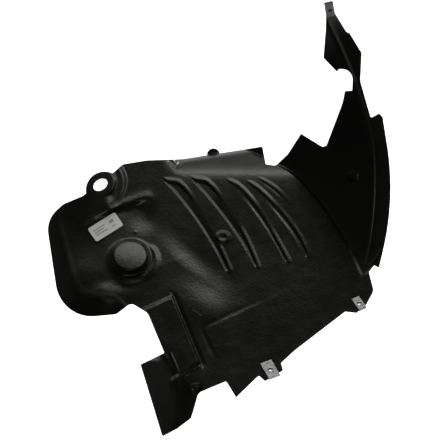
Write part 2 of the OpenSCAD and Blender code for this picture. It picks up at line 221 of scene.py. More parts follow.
def to_segment(x, y, a, b):
    """Distance to the line from a to b."""
    a, b = np.array(a, float), np.array(b, float)
    d = b - a
    t = np.clip(((x - a[0]) * d[0] + (y - a[1]) * d[1]) / (d @ d), 0, 1)
    return np.hypot(x - a[0] - t * d[0], y - a[1] - t * d[1])


# Heights of the sheet

def beyond_rim(x, y):
    """Distance outside the bend line of the rim of the lobe."""
    in_left = past_line(x, y, RIM_LEFT)
    in_low = (y + 120) + 1.2 * ramp(x + 153, 6)
    return -soft_min(in_left, in_low, 18)


def from_ear(x, y):
    """Distance from the middle of the ear, and 1 on its left side."""
    dx, dy = x - EAR_MID[0], y - EAR_MID[1]
    r = np.hypot(dx, dy) + 1e-6
    return r, soft(((-0.78 * dx - 0.62 * dy) / r + 0.1) / 0.6)


def flap_crest(y):
    """Sideways place of the crest of the flap, which bows to the left above and below its middle."""
    return FLAP_CREST_X - FLAP_BOW * ((y - FLAP_CREST_Y) / FLAP_BOW_HALF) ** 2


def plain_body(x, y):
    """Main facet, shelf, lobe floor, rolled rim and flap."""
    z = FACET_DEPTH + FACET_SIDE * x - FACET_FALL * y
    bend = SHELF_Y + 18 * (np.maximum(0, SHELF_SWEEP_X - x) / 28) ** 2
    z = z - SHELF_FALL * ramp(y - bend, SHELF_BEND)

    below = past_line(x, y, LOBE_TOP)
    inward = soft_max(past_line(x, y, LOBE_SIDE), past_line(x, y, LOBE_CREASE), 8)
    side = soft(inward / 32) * (1 - soft((x + 60) / 110))
    top = soft(below / 12) * soft((x + 215) / 45)
    z = z + side * top * np.minimum(LOBE_RISE, LOBE_TILT * (below - 50))
    z = z - LOBE_CURL * np.maximum(0, LOBE_CURL_X - x) ** 2
    z = z - RIM_FALL * ramp(beyond_rim(x, y), RIM_BEND)

    low = soft((-196 - y) / 16)
    right = soft((-240 - y) / 14) * (1 - soft((x + 35) / 12))
    z = z - FLAP_FALL * ramp(flap_crest(y) - x, 4) * low - 0.5 * ramp(x + 56, 3) * right
    r, left = from_ear(x, y)
    return z + EAR_RISE * left * (1 - soft((r - 10) / 75))


def along_line(points, b):
    """Value at b of a smooth curve through a few (b, value) points."""
    at, value = np.array(points, float).T
    if len(points) < 4:
        return np.interp(b, at, value)
    return np.polyval(np.polyfit(at, value, 3), np.clip(b, at[0], at[-1]))


def grooves(x, y):
    """Stiffening grooves: steep wall on the left, and a wall or a soft slope on the right."""
    across, along = past_line(x, y, GROOVE_ACROSS), past_line(x, y, GROOVE_ALONG)
    total = np.zeros_like(x)
    for groove in GROOVES:
        left, right = along_line(groove["left"], along), along_line(groove["right"], along)
        depth, lip = (np.interp(along, *np.array(groove[k], float).T) for k in ("depth", "lip"))
        hard = soft(lip / 1.2)
        beyond = soft_max(soft_max(across - right, y - groove["top"], 7), along - groove["end"], 3)
        walled = 1 - soft((beyond + 5) / 3)
        sloped = 1 - soft((beyond + right - left) / (right - left))
        floor = soft((across - left) / 4.5 + 0.5) * (hard * walled + (1 - hard) * sloped)
        crest = soft((beyond + 6) / 5) * (1 - soft((beyond + 1) / 5.5)) * soft((across - left) / 4)
        total = total + lip * crest - depth * floor
    return total


def in_oval(x, y, middle, half):
    """Distance from the middle of an oval, as a share of its half widths."""
    return np.hypot((x - middle[0]) / half[0], (y - middle[1]) / half[1])


def dome(x, y):
    """Two-stepped dome with a gently crowned top that leans back."""
    outer = in_oval(x, y, DOME_FOOT, DOME_FOOT_HALF)
    inner = in_oval(x, y, DOME_TOP, DOME_TOP_HALF)
    climb = (1 - outer) / np.maximum(1e-6, (1 - outer) + np.maximum(0, inner - 1))
    climb = np.where(outer >= 1, 0, np.clip(climb, 0, 1))
    lean = 0.22 * (y - DOME_TOP[1]), 0.12 * (x - DOME_TOP[0])
    top = DOME_RISE - lean[0] - lean[1] - 2.4 * np.minimum(inner, 2) ** 2
    foot = 0.25 * DOME_RISE
    right = soft(past_line(x, y, DOME_RIGHT) / 20)
    ring_cut = 1.8 * right * soft((climb - 0.26) / 0.14) * (1 - soft((climb - 0.42) / 0.14))
    wall = (1 - right) * soft((climb - 0.06) / 0.9) + right * soft((climb - 0.42) / 0.5)
    return foot * right * soft(climb / 0.24) - ring_cut + (top - foot * right) * wall


def ear(x, y):
    """Two stepped arcs on the right side of the ear."""
    r, left = from_ear(x, y)
    steps = 2 - soft((r - 19) / 7) - soft((r - 33) / 9)
    return EAR_RISE / 2 * steps * (1 - left)


def strip(x, y):
    """Raised strip that leads down to the flap, with a lip across its lower end."""
    t, end = past_line(x, y, STRIP_SIDE), past_line(x, y, STRIP_END)
    above = soft_max(t / 4, (y + 119 - 0.45 * (x + 75)) / 7, 0.4)
    beside = soft((-68 - x) / 10)
    on = (1 - beside) * (1 - soft((end + 6) / 8)) + beside * (1 - soft((-205 - y) / 70))
    valley = soft(t / 3.5) * (1 - soft((t - 3.5) / 8)) * soft((-104 - y) / 12) * (1 - soft(end / 10))
    lip = 1.6 * soft((end + 1) / 4) * (1 - soft((end - 3) / 4))
    lip = lip * soft((x + 56) / 6) * (1 - soft((t + 1) / 5))
    return STRIP_RISE * (1 - soft(above)) * on - 3 * valley + lip


def rim_lip(x, y):
    """Rounded bead along the bend of the rim of the lobe."""
    on = 1 - soft((x + 100) / 20)
    beyond = beyond_rim(x, y)
    return 2.4 * soft(1 + beyond / 12) * (1 - soft(beyond / 24)) * on


def top_roll(x, y):
    """Upper edge of the shelf rolled back, with its upright tab and the pocket at its left end."""
    edge = 93 + 0.157 * (x + 57)
    on = soft((x + 72) / 14)
    roll = -2.2 * ramp(y - edge + 5, 3) * on
    hollow = -0.0006 * np.maximum(0, y - SHELF_Y - 4) ** 2 * on
    hook = np.minimum(to_segment(x, y, *HOOK[:2]), to_segment(x, y, *HOOK[1:]))
    pocket = -3 * (1 - soft(hook / 4.5))
    upright = 4 * ramp(y - edge - 1, 0.8) * (1 - soft((np.abs(x - ROUND_TAB[0]) - 10) / 2))
    return roll + hollow + pocket + upright


def flap_folds(x, y):
    """Second crest of the flap, with a narrow valley between the two crests."""
    crest = flap_crest(y) + 10
    on = soft((-192 - y) / 8) * (1 - soft((-232 - y) / 40))
    valley = -2.2 * np.exp(-(((x - crest + 5) / 3.2) ** 2))
    fall = -1.6 * soft((x - crest) / 3) * (1 - soft((x - crest - 8) / 14))
    return (valley + fall) * on


def swells(x, y):
    """Gentle waves of the sheet that catch the light."""
    z = np.zeros_like(x)
    for mid_x, mid_y, wide, high, fall in SWELLS:
        u, v = (x - mid_x) / wide, (y - mid_y) / high
        z = z - fall * high * v * np.exp(-u * u - v * v)
    return z


def panel(x, y):
    """Long panel, slightly raised, with a narrow valley along its left and upper borders."""
    in_left, in_top = past_line(x, y, PANEL_LEFT), past_line(x, y, PANEL_TOP)
    within = -soft_max(soft_max(-in_left, -in_top, 5), (in_left - 225) / 3, 4)
    fade = 1 - soft((in_top - 26) / 30)
    valley = np.exp(-(((within + 2.5) / 3) ** 2)) * (1 - soft((in_left - 30) / 80))
    raised = PANEL_RISE * soft((within + 1) / 5) * (1 - soft((in_left - 60) / 120))
    return (raised - 0.8 * valley) * fade


def bosses(x, y):
    """Ringed boss between the grooves, pip above the dome, and bar under the ear."""
    r = np.hypot(x - RING_BOSS[0], (y - RING_BOSS[1]) * 1.2)
    z = 3.5 * (1 - soft((r - 8) / 5)) - 2.5 * (1 - soft((r - 2.5) / 4))
    z = z + 1.5 * (1 - soft(np.hypot(x - PIP[0], (y - PIP[1]) * 1.2) / 4))
    return z + 2.8 * np.exp(-((to_segment(x, y, *BAR) / 7.5) ** 2))


def details(x, y):
    """Relief of the sheet over its plain body."""
    raised = dome(x, y) + ear(x, y) + strip(x, y) + rim_lip(x, y) + bosses(x, y)
    return raised + grooves(x, y) + swells(x, y) + top_roll(x, y) + flap_folds(x, y) + panel(x, y)


def tread(x, y):
    """Tread wall about the wheel axis, bent over at its crest into the lip flange."""
    qx, qy = x - HUB[0], y - HUB[1]
    s = qx * AXLE[0] + qy * AXLE[1]
    c = qx**2 + qy**2 - s**2 - TREAD_R**2
    k = 1 - AXLE[2] ** 2
    root = np.sqrt(np.maximum(100, (AXLE[2] * s) ** 2 - k * c))
    crest = CREST_X - np.where(y > 63, 0.00137, 0.0008) * (y - 63) ** 2
    return HUB[2] + (AXLE[2] * s - root) / k - LIP_FALL * ramp(x - crest, 5)


def tread_boss(x, y):
    """Round boss on the tread wall."""
    return 4 * (1 - soft((np.hypot(x - TREAD_BOSS[0], y - TREAD_BOSS[1]) - 4) / 6))


def slope_drop(surface, x, y):
    """Drop to the hidden side, so that the sheet is equally thick on a slope."""
    rise_x = surface(x + 1, y) - surface(x - 1, y)
    rise_y = surface(x, y + 1) - surface(x, y - 1)
    return SHEET_T * np.sqrt(1 + (rise_x**2 + rise_y**2) / 4)


def sheet(x, y, drop):
    """Height of the shown side, or of the hidden side where drop is true."""
    low = plain_body(x, y) + details(x, y)
    high = tread(x, y) + tread_boss(x, y)
    if drop:
        low = low - slope_drop(plain_body, x, y)
        high = high - slope_drop(tread, x, y)
    seam = 2.2 * np.exp(-(((high - low + 5) / 3.5) ** 2))
    return np.where(x > 0, soft_max(low, high, 3) - seam, low)


# Clip frames and the frame of the car

def rotation():
    """Axes of the mould frame in the frame of the car."""
    turn, rise = np.radians(DRAW_TURN), np.radians(DRAW_RISE)
    mould_x = np.array([np.cos(turn), np.sin(turn), 0])
    mould_z = np.array([np.sin(turn) * np.cos(rise), -np.cos(turn) * np.cos(rise), np.sin(rise)])
    return np.array([mould_x, np.cross(mould_z, mould_x), mould_z])


def clip_frame(name):
    """Width, length and outward directions of a clip, its place, and its gap to the sheet."""
    (cx, cy), run, _ = CLIPS[name]
    on_tread = cy > 150
    surface = tread if on_tread else plain_body
    x, y = np.array(float(cx)), np.array(float(cy))
    here = surface(x, y)
    rise = np.array([surface(x + 1, y) - here, surface(x, y + 1) - here])
    out = np.array([-rise[0], -rise[1], 1])
    out = out / np.linalg.norm(out)
    length = np.array([run[0], run[1], rise @ run])
    length = length / np.linalg.norm(length)
    gap = CLIP_GAP + (TIP_GAP if on_tread else 0)
    return np.cross(length, out), length, out, np.array([cx, cy, float(here)]), gap


def bore_centre(name):
    """Middle of the collar bore of a clip."""
    _, _, out, place, gap = clip_frame(name)
    return place - out * (SHEET_T + gap + (STEEL_T + COLLAR_LEN) / 2)


TURN = rotation()
ORIGIN = bore_centre("lower_clip")


def in_car(points):
    """Mould frame in millimetres to the frame of the car in metres."""
    return (np.asarray(points, float) - ORIGIN) @ TURN * MM


# Trimmed edge

def rounded(corners, step=6):
    """Corner list with a radius each, made into a closed outline."""
    out = []
    m = len(corners)
    for i, (cx, cy, r) in enumerate(corners):
        c = np.array([cx, cy], float)
        u = np.array(corners[i - 1][:2], float) - c
        v = np.array(corners[(i + 1) % m][:2], float) - c
        u, v = u / np.linalg.norm(u), v / np.linalg.norm(v)
        half = np.arccos(np.clip(u @ v, -1, 1)) / 2
        mid = (u + v) / np.linalg.norm(u + v)
        centre = c + mid * r / np.sin(half)
        start = c + u * r / np.tan(half) - centre
        turn = np.pi - 2 * half
        way = -1 if u[0] * v[1] - u[1] * v[0] > 0 else 1
        steps = max(2, int(np.ceil(np.degrees(turn) / (1.5 if r > 100 else step))))
        for w in way * turn * np.arange(steps + 1) / steps:
            turned = [
                start[0] * np.cos(w) - start[1] * np.sin(w),
                start[0] * np.sin(w) + start[1] * np.cos(w),
            ]
            out.append(centre + turned)
    return np.array(out)


def ring(x, y, a, b, turn=0, n=48):
    """Closed oval outline about x and y, with half widths a and b."""
    w = np.arange(n) * 2 * np.pi / n
    t = np.radians(turn)
    p, q = a * np.cos(w), b * np.sin(w)
    return np.stack([x + p * np.cos(t) - q * np.sin(t), y + p * np.sin(t) + q * np.cos(t)], 1)


def hole_ring(name, n=32):
    """Clearance hole of a clip, seen along the draw."""
    wid, length, _, place, _ = clip_frame(name)
    r = CLIPS[name][2]
    w = np.arange(n)[:, None] * 2 * np.pi / n
    return (place + r * (np.cos(w) * wid + np.sin(w) * length))[:, :2]


def inside(poly, pts):
    """True where a point lies in a closed outline."""
    x, y = pts[:, 0], pts[:, 1]
    hit = np.zeros(len(pts), bool)
    for (x1, y1), (x2, y2) in zip(poly, np.roll(poly, -1, 0)):
        if y1 == y2:
            continue
        cross = (y1 > y) != (y2 > y)
        hit ^= cross & (x < x1 + (y - y1) * (x2 - x1) / (y2 - y1))
    return hit


def split_long(poly, longest=3.0):
    """Extra points on the long sides of an outline."""
    out = []
    for a, b in zip(poly, np.roll(poly, -1, 0)):
        n = max(1, int(np.ceil(np.linalg.norm(b - a) / longest)))
        out += [a + (b - a) * k / n for k in range(n)]
    return np.array(out)


def sheet_grid(low, high):
    """Points over the sheet: close where it bends, wide where it is flat."""
    nx, ny = ((high - low) / GRID_STEP).astype(int) + 1
    i, j = np.meshgrid(np.arange(nx), np.arange(ny), indexing="ij")
    x, y = low[0] + i * GRID_STEP, low[1] + j * GRID_STEP
    z = sheet(x, y, False)
    rise_x, rise_y = np.gradient(z, GRID_STEP)
    lean = np.sqrt(1 + rise_x**2 + rise_y**2)
    bend = np.zeros_like(z)
    bend[1:-1, :] = np.abs(z[2:, :] + z[:-2, :] - 2 * z[1:-1, :])
    bend[:, 1:-1] = np.maximum(bend[:, 1:-1], np.abs(z[:, 2:] + z[:, :-2] - 2 * z[:, 1:-1]))
    bend = bend / lean
    spread = bend.copy()
    for di, dj in [(1, 0), (-1, 0), (0, 1), (0, -1)]:
        spread = np.maximum(spread, np.roll(bend, (di, dj), (0, 1)))
    keep = (i % 4 == 0) & (j % 4 == 0)
    keep |= (i % 2 == 0) & (j % 2 == 0) & (spread > BEND_SLIGHT)
    keep |= spread > BEND_STRONG
    return np.stack([x[keep], y[keep]], 1)


def in_sheet(outlines, holes, pts):
    """True where a point lies in one of the outlines and in none of the holes."""
    hit = np.zeros(len(pts), bool)
    for outline in outlines:
        hit |= inside(outline, pts)
    for hole in holes:
        hit &= ~inside(hole, pts)
    return hit


def loop_edges(loops):
    """Point pairs along each closed outline, with the points numbered through all of them."""
    edges, k = [], 0
    for loop in loops:
        n = len(loop)
        edges += [(k + i, k + (i + 1) % n) for i in range(n)]
        k += n
    return edges


def facing_up(xy, tris, least):
    """Triangles all counter-clockwise, without those of almost no area."""
    a, b, c = xy[tris[:, 0]], xy[tris[:, 1]], xy[tris[:, 2]]
    area = (b[:, 0] - a[:, 0]) * (c[:, 1] - a[:, 1]) - (b[:, 1] - a[:, 1]) * (c[:, 0] - a[:, 0])
    tris[area < 0] = tris[area < 0][:, ::-1]
    return tris[np.abs(area) > least]


def open_sides(tris):
    """Sides that only one triangle has."""
    sides = {(t[i], t[(i + 1) % 3]): True for t in tris for i in range(3)}
    return [(a, b) for a, b in sides if (b, a) not in sides]


def closed_faces(tris, rim, n):
    """Faces of a thin body with n points on each side: its two sides and the walls between them."""
    walls = [(b, a, a + n) for a, b in rim] + [(b, a + n, b + n) for a, b in rim]
    return np.concatenate([tris, tris[:, ::-1] + n, np.array(walls)])


def triangulate():
    """Points and triangles of the trimmed sheet, seen along the draw."""
    main = split_long(rounded(ARM_EDGE + LIP_EDGE + LOW_EDGE + FLAP_EDGE + LOBE_EDGE + TOP_EDGE))
    outlines = [main, ring(*EAR, EAR[2], n=90), ring(*ROUND_TAB, ROUND_TAB[2], n=40)]
    holes = [ring(*EYE)] + [hole_ring(name) for name in CLIPS]
    loops = outlines + holes
    border = np.concatenate(loops)
    grid = sheet_grid(main.min(0), main.max(0))
    grid = grid[in_sheet(outlines, holes, grid)]
    near = np.array([np.min(np.sum((border - p) ** 2, 1)) for p in grid])
    grid = grid[near > EDGE_CLEAR**2]
    points = [Vector(p) for p in np.concatenate([border, grid])]
    made = delaunay_2d_cdt(points, loop_edges(loops), [], 0, SAME_POINT, False)
    xy = np.array([v[:] for v in made[0]])
    tris = np.array(made[2])
    tris = tris[in_sheet(outlines, holes, xy[tris].mean(1))]
    tris = facing_up(xy, tris, SHEET_SLIVER)
    used = np.unique(tris)
    index = np.zeros(len(xy), int)
    index[used] = np.arange(len(used))
    return xy[used], index[tris]


def sheet_normals(xy, drop):
    """Normals of the shown or the hidden side, in the mould frame."""
    e = 0.3
    x, y = xy[:, 0], xy[:, 1]
    rise_x = (sheet(x + e, y, drop) - sheet(x - e, y, drop)) / (2 * e)
    rise_y = (sheet(x, y + e, drop) - sheet(x, y - e, drop)) / (2 * e)
    n = np.stack([-rise_x, -rise_y, np.ones_like(x)], 1)
    return n / np.linalg.norm(n, axis=1)[:, None]


def new_object(name, mesh):
    """Object of a mesh, linked to the scene."""
    piece = bpy.data.objects.new(name, mesh)
    bpy.context.scene.collection.objects.link(piece)
    return piece


def build_shell():
    """The sheet: its shown side, its hidden side and the trimmed rim between them."""
    xy, tris = triangulate()
    n = len(xy)
    front = np.column_stack([xy, sheet(xy[:, 0], xy[:, 1], False)])
    back = np.column_stack([xy, sheet(xy[:, 0], xy[:, 1], True)])
    faces = closed_faces(tris, open_sides(tris), n)
    mesh = bpy.data.meshes.new("arch_liner_sheet")
    mesh.from_pydata(in_car(np.concatenate([front, back])).tolist(), [], faces.tolist())
    mesh.update()
    flat = np.zeros(len(faces) * 3)
    mesh.polygons.foreach_get("normal", flat)
    face_normals = flat.reshape(-1, 3)
    loop_normals = np.repeat(face_normals, 3, 0)
    smooth = np.concatenate([sheet_normals(xy, False) @ TURN, -sheet_normals(xy, True) @ TURN])
    shown = 2 * len(tris) * 3
    loop_normals[:shown] = smooth[faces[: 2 * len(tris)].reshape(-1)]
    mesh.shade_smooth()
    mesh.normals_split_custom_set(loop_normals.tolist())
    return new_object("arch_liner_sheet", mesh)


shell = build_shell()
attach(shell, "root")
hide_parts("liner_shell")


# Paper label with rounded corners and plain grey bars

LABEL_MID, LABEL_LONG, LABEL_WIDE = (-172, -10.5), (0.848, 0.530), (-0.57, 0.82)
LABEL_SIZE, LABEL_CORNER, LABEL_T, LABEL_GAP = (48, 24), 3, 0.5, 0.8
# Bars: middle along and across the label, length and width
LABEL_BARS = [
    (-9, 4, 20, 1.6), (-11, 0, 16, 1.6), (-9, -4, 20, 1.6), (12, 3, 7, 4.5), (12, -4.5, 7, 1.4),
]


def label_outline():
    """Rounded rectangle, counter-clockwise, in the frame of the label."""
    half_l, half_w = LABEL_SIZE[0] / 2, LABEL_SIZE[1] / 2
    out = []
    for k, (sx, sy) in enumerate([(1, 1), (-1, 1), (-1, -1), (1, -1)]):
        for i in range(7):
            w = (k + i / 6) * np.pi / 2
            out.append((
                sx * (half_l - LABEL_CORNER) + LABEL_CORNER * np.cos(w),
                sy * (half_w - LABEL_CORNER) + LABEL_CORNER * np.sin(w),
            ))
    return np.array(out)


def build_label():
    """Thin paper sheet laid on the lobe, with its bars marked as a second material."""
    border = split_long(label_outline(), 3)
    loops = [border]
    for mid_l, mid_w, length, width in LABEL_BARS:
        a, b = length / 2, width / 2
        loops.append(np.array([
            (mid_l - a, mid_w - b), (mid_l + a, mid_w - b), (mid_l + a, mid_w + b), (mid_l - a, mid_w + b),
        ]))
    grid = np.array([(u, v) for u in np.arange(-22, 23, 2.2) for v in np.arange(-10, 11, 2.0)])
    points = [Vector(p) for p in np.concatenate(loops + [grid])]
    made = delaunay_2d_cdt(points, loop_edges(loops), [], 0, SAME_POINT, False)
    uv = np.array([v[:] for v in made[0]])
    tris = np.array([t for t in made[2] if inside(border, uv[list(t)].mean(0)[None])[0]])
    tris = facing_up(uv, tris, LABEL_SLIVER)
    x = LABEL_MID[0] + uv[:, 0] * LABEL_LONG[0] + uv[:, 1] * LABEL_WIDE[0]
    y = LABEL_MID[1] + uv[:, 0] * LABEL_LONG[1] + uv[:, 1] * LABEL_WIDE[1]
    seat = plain_body(x, y) + LABEL_GAP
    n = len(uv)
    top = np.column_stack([x, y, seat + LABEL_T])
    under = np.column_stack([x, y, seat])
    faces = closed_faces(tris, sorted(open_sides(tris)), n)
    mesh = bpy.data.meshes.new("label_sheet")
    mesh.from_pydata(in_car(np.concatenate([top, under])).tolist(), [], faces.tolist())
    mesh.update()
    middles = uv[tris].mean(1)
    for k, mid in enumerate(middles):
        if any(inside(bar, mid[None])[0] for bar in loops[1:]):
            mesh.polygons[k].material_index = 1
    return new_object("label_sheet", mesh)


label = build_label()
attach(label, "root")
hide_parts("paper_label")


# Materials

PLASTIC_DARK, PLASTIC_DUSTY = (0.0014, 0.0015, 0.0013), (0.0032, 0.0033, 0.0027)
PLASTIC_WORN, PLASTIC_SCRATCHED = (0.010, 0.010, 0.009), (0.035, 0.035, 0.032)
PLASTIC_SHINE, PLASTIC_TINT = 0.17, (0.96, 1.0, 0.87)
SCRATCH_WIDTH = 0.0011
STEEL_DARK, STEEL_LIGHT = (0.30, 0.31, 0.32), (0.62, 0.63, 0.64)
# Darker and edge colours of the tip clip's steel: painted shade, a darker copy of the same zinc steel, not
# tarnish
STEEL_SHADED_DARK = (0.015, 0.016, 0.017)
STEEL_PALE, STEEL_SHADED_EDGE = (0.72, 0.73, 0.74), (0.09, 0.092, 0.094)
PAPER, PAPER_DARKER = (0.50, 0.50, 0.49), (0.46, 0.46, 0.445)
PRINT, PRINT_DARKER = (0.22, 0.225, 0.23), (0.18, 0.185, 0.19)
CLIP_EDGE = 0.0003


def new_material(name, color, roughness, metallic=0.0, specular=0.5):
    """Node tree of a new material, with its shader."""
    mat = bpy.data.materials.new(name)
    mat.use_nodes = True
    shader = mat.node_tree.nodes["Principled BSDF"]
    shader.inputs["Base Color"].default_value = (*color, 1)
    shader.inputs["Roughness"].default_value = roughness
    shader.inputs["Metallic"].default_value = metallic
    shader.inputs["Specular IOR Level"].default_value = specular
    return mat, shader


def add_noise(tree, scale, detail=3, stretch=(1, 1, 1)):
    """Noise over the object's own coordinates."""
    coords = tree.nodes.new("ShaderNodeTexCoord")
    spread = tree.nodes.new("ShaderNodeMapping")
    spread.inputs["Scale"].default_value = stretch
    noise = tree.nodes.new("ShaderNodeTexNoise")
    noise.inputs["Scale"].default_value = scale
    noise.inputs["Detail"].default_value = detail
    tree.links.new(coords.outputs["Object"], spread.inputs["Vector"])
    tree.links.new(spread.outputs["Vector"], noise.inputs["Vector"])
    return noise.outputs["Fac"]


def spread_to(tree, value, low, high, start=0.3, stop=0.7):
    """Maps the middle of a noise onto the range from low to high."""
    node = tree.nodes.new("ShaderNodeMapRange")
    node.inputs["From Min"].default_value = start
    node.inputs["From Max"].default_value = stop
    node.inputs["To Min"].default_value = low
    node.inputs["To Max"].default_value = high
    tree.links.new(value, node.inputs["Value"])
    return node.outputs["Result"]


def blend(tree, share, first, second):
    """Color between two colors or sockets."""
    node = tree.nodes.new("ShaderNodeMix")
    node.data_type = "RGBA"
    tree.links.new(share, node.inputs["Factor"])
    for socket, color in ((node.inputs["A"], first), (node.inputs["B"], second)):
        if isinstance(color, tuple):
            socket.default_value = (*color, 1)
        else:
            tree.links.new(color, socket)
    return node.outputs["Result"]


def add_bump(tree, height, strength, distance, normal=None):
    """Normal bent by a height, over the one given."""
    bump = tree.nodes.new("ShaderNodeBump")
    bump.inputs["Strength"].default_value = strength
    bump.inputs["Distance"].default_value = distance
    tree.links.new(height, bump.inputs["Height"])
    if normal is not None:
        tree.links.new(normal, bump.inputs["Normal"])
    return bump.outputs["Normal"]


def edge_share(tree, start=0.52, stop=0.6):
    """Share of wear: 1 on sharp outer edges, 0 elsewhere."""
    geometry = tree.nodes.new("ShaderNodeNewGeometry")
    return spread_to(tree, geometry.outputs["Pointiness"], 0, 1, start, stop)


def scratch_share(tree, start, end, width):
    """1 within a thin straight scratch between two points of the mould frame."""
    ends = []
    for x, y in (start, end):
        height = float(sheet(np.array(float(x)), np.array(float(y)), False))
        ends.append(Vector(in_car([x, y, height])))
    a, b = ends
    coords = tree.nodes.new("ShaderNodeTexCoord")
    from_a = tree.nodes.new("ShaderNodeVectorMath")
    from_a.operation = "SUBTRACT"
    from_a.inputs[1].default_value = a
    run = tree.nodes.new("ShaderNodeVectorMath")
    run.operation = "DOT_PRODUCT"
    run.inputs[1].default_value = (b - a) / (b - a).length_squared
    part = tree.nodes.new("ShaderNodeClamp")
    foot = tree.nodes.new("ShaderNodeVectorMath")
    foot.operation = "SCALE"
    foot.inputs[0].default_value = b - a
    gap = tree.nodes.new("ShaderNodeVectorMath")
    gap.operation = "DISTANCE"
    tree.links.new(coords.outputs["Object"], from_a.inputs[0])
    tree.links.new(from_a.outputs["Vector"], run.inputs[0])
    tree.links.new(run.outputs["Value"], part.inputs["Value"])
    tree.links.new(part.outputs["Result"], foot.inputs["Scale"])
    tree.links.new(from_a.outputs["Vector"], gap.inputs[0])
    tree.links.new(foot.outputs["Vector"], gap.inputs[1])
    return spread_to(tree, gap.outputs["Value"], 1, 0, width * 0.4, width)


def black_plastic():
    """Moulded black plastic: grain, dusty mottling, pale scuffs and rubbed edges."""
    mat, shader = new_material("black_moulded_plastic", PLASTIC_DARK, 0.33, specular=PLASTIC_SHINE)
    tree = mat.node_tree
    mottle = spread_to(tree, add_noise(tree, 22, 3), 0, 1)
    color = blend(tree, mottle, PLASTIC_DARK, PLASTIC_DUSTY)
    worn = edge_share(tree)
    color = blend(tree, worn, color, PLASTIC_WORN)
    scratch = scratch_share(tree, *SCRATCH, SCRATCH_WIDTH)
    color = blend(tree, scratch, color, PLASTIC_SCRATCHED)
    tree.links.new(color, shader.inputs["Base Color"])
    rough = spread_to(tree, add_noise(tree, 55, 2), 0.28, 0.35)
    tree.links.new(rough, shader.inputs["Roughness"])
    shader.inputs["Specular Tint"].default_value = (*PLASTIC_TINT, 1)
    waves = add_bump(tree, add_noise(tree, 28, 2), 0.25, 0.001)
    peel = add_bump(tree, add_noise(tree, 230, 2), 0.34, 0.0008, waves)
    grain = add_bump(tree, add_noise(tree, 1100, 2), 0.15, 0.0002, peel)
    tree.links.new(grain, shader.inputs["Normal"])
    return mat


def spring_steel(name, dark, light, rubbed):
    """Zinc-coated spring steel: patches, and rolling marks along the strip."""
    mat, shader = new_material(name, dark, 0.32, metallic=1.0)
    tree = mat.node_tree
    patches = spread_to(tree, add_noise(tree, 190, 3, (1, 1, 0.4)), 0, 1, 0.4, 0.6)
    color = blend(tree, patches, dark, light)
    color = blend(tree, edge_share(tree), color, rubbed)
    tree.links.new(color, shader.inputs["Base Color"])
    tree.links.new(spread_to(tree, add_noise(tree, 400, 3), 0.24, 0.42), shader.inputs["Roughness"])
    marks = add_noise(tree, 900, 2, (1, 1, 0.15))
    tree.links.new(add_bump(tree, marks, 0.2, 0.0001), shader.inputs["Normal"])
    return mat


def label_paper(name, color, darker):
    """Matt paper with faint fibres, or the grey print on it."""
    mat, shader = new_material(name, color, 0.6, specular=0.3)
    tree = mat.node_tree
    fibres = spread_to(tree, add_noise(tree, 1500, 4, (1, 0.3, 1)), 0, 1)
    tree.links.new(blend(tree, fibres, color, darker), shader.inputs["Base Color"])
    tree.links.new(spread_to(tree, add_noise(tree, 700, 2), 0.5, 0.7), shader.inputs["Roughness"])
    tree.links.new(add_bump(tree, add_noise(tree, 1200, 3), 0.15, 0.0001), shader.inputs["Normal"])
    return mat


shell.data.materials.append(black_plastic())
label.data.materials.append(label_paper("label_paper", PAPER, PAPER_DARKER))
label.data.materials.append(label_paper("label_print", PRINT, PRINT_DARKER))
steel = spring_steel("spring_steel", STEEL_DARK, STEEL_LIGHT, STEEL_PALE)
# Tip clip: the same zinc steel with painted shade, drawn darker than the other clips
shaded_steel = spring_steel("shaded_spring_steel", STEEL_SHADED_DARK, STEEL_PALE, STEEL_SHADED_EDGE)
for name in CLIPS:
    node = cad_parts[name]
    node.data.materials.clear()
    node.data.materials.append(shaded_steel if name == "tip_clip" else steel)
    bevel = node.modifiers.new("edges", "BEVEL")
    bevel.width = CLIP_EDGE
    bevel.segments = 2


# Floor, light and camera, in metres

CENTRE = Vector(in_car([0, 0, -60]))

# Softboxes: direction from the part in the mould frame, width and depth, and power
SOFTBOXES = [
    ("top_key", (0.10, 0.97, -0.22), (1.5, 0.45), 20.0),
    ("top_right", (0.42, 0.90, -0.14), (0.7, 0.7), 5.0),
    ("top_left_back", (-0.38, 0.82, -0.42), (0.7, 0.7), 4.0),
    ("left_front", (-0.30, 0.64, 0.71), (0.7, 0.7), 1.6),
    ("right_side", (0.70, 0.70, 0.14), (0.7, 0.7), 8.0),
    ("front_fill", (0.0, 0.1, 1.0), (0.7, 0.7), 10.0),
    ("right_back", (0.50, 0.50, -0.71), (0.7, 0.7), 30.0),
]
LAMP_DISTANCE, WORLD_LEVEL = 2.2, 0.12
CAMERA_DISTANCE, FRAME_PIXELS, PIXEL_MM = 20.0, 440, 1.5
FLOOR_DROP, FLOOR_FRONT, FLOOR_BACK, FLOOR_HALF, FLOOR_GREY = 0.2, 3.0, 4.0, 3.5, 0.18
SWEEP_FRONT, SWEEP_BACK, SWEEP_HALF, SWEEP_WHITE, SWEEP_GLOW = 0.6, 1.8, 0.6, 0.8, 0.9
SWEEP_BEND, SWEEP_HEIGHT, SWEEP_STEPS = 0.8, 2.2, 12
SWEEP_OVER_FLOOR = 0.002


